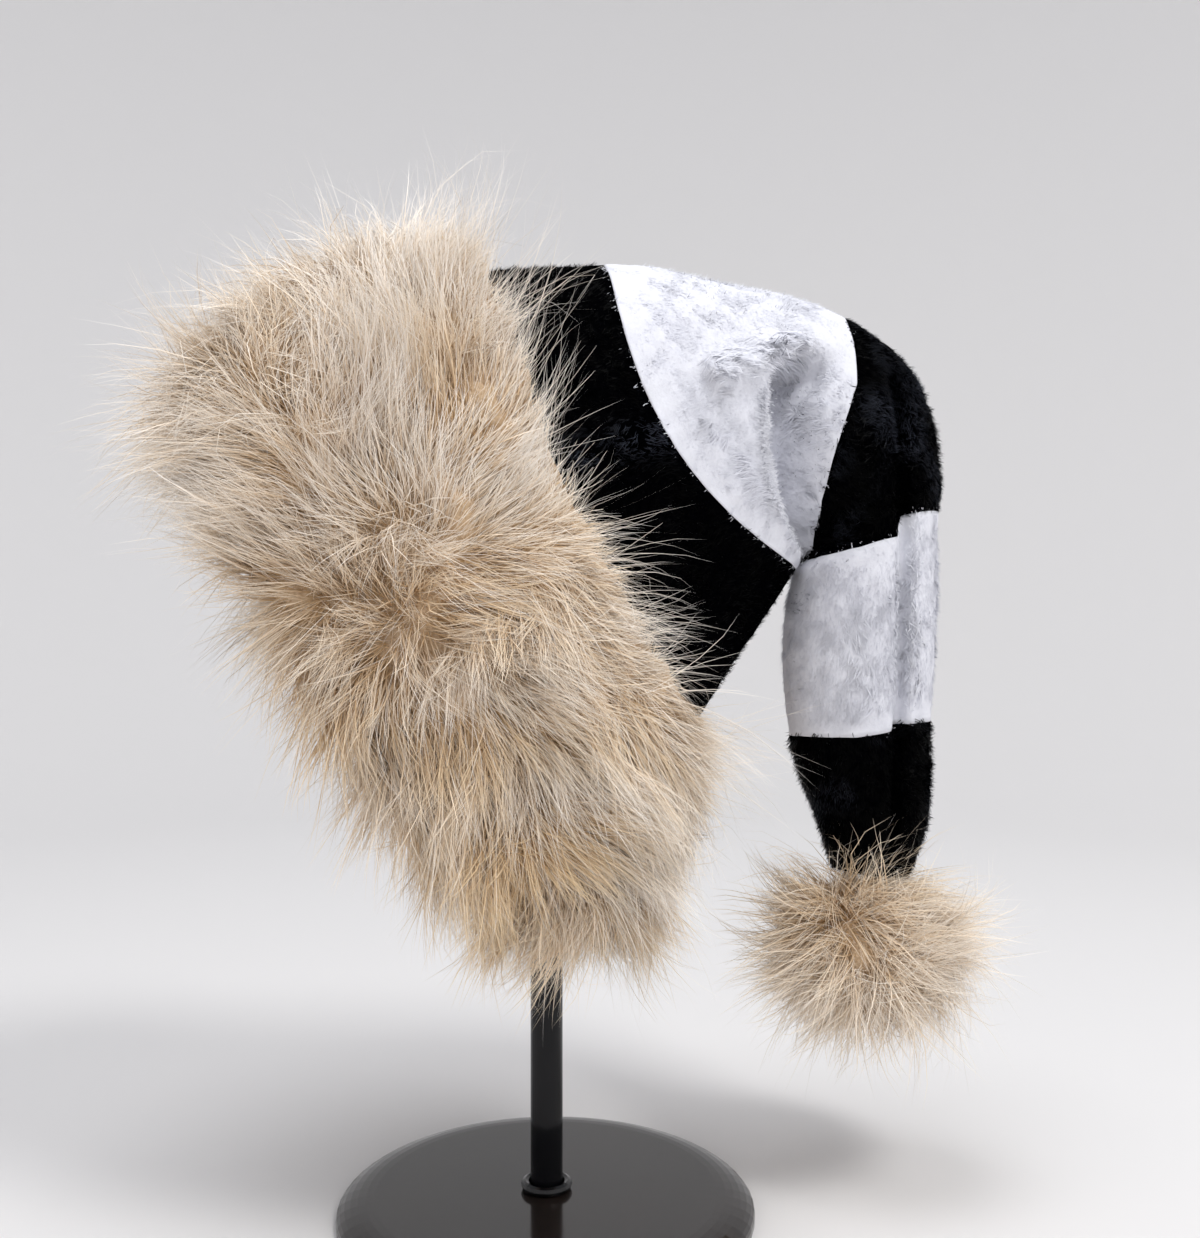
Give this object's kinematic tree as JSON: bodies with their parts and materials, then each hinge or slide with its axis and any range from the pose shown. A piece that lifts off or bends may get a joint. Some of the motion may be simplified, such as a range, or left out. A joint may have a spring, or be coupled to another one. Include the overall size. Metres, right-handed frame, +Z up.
{
  "type": "santa hat on a display stand",
  "caption": "Long plush stocking hat in black and white bands, bent over, with a deep fur cuff and a fur pompom, held up on a round-based pole stand.",
  "frame": {"origin": "centre of the flat underside of the stand's base", "axes": "+Z up along the pole; +X to the right in the picture, towards the hanging tail; +Y away from the viewer"},
  "size_m": [0.3651, 0.229, 0.4354],
  "materials": {
    "base_enamel": "satin",
    "collar_enamel": "gloss",
    "pole_enamel": "gloss",
    "head_plastic": "matte",
    "plush_black": "matte",
    "plush_white": "matte",
    "fur_beige": "matte",
    "pompom_fur": "matte"
  },
  "bodies": {
    "root": {"stand_base": "base_enamel", "stand_collar": "collar_enamel", "stand_pole": "pole_enamel", "stand_head": "head_plastic", "crown_black": "plush_black", "crown_white": "plush_white", "tail_black": "plush_black", "tail_white": "plush_white", "tail_tip": "plush_black", "cuff_fur": "fur_beige", "pompom": "pompom_fur"}
  },
  "joints": []
}
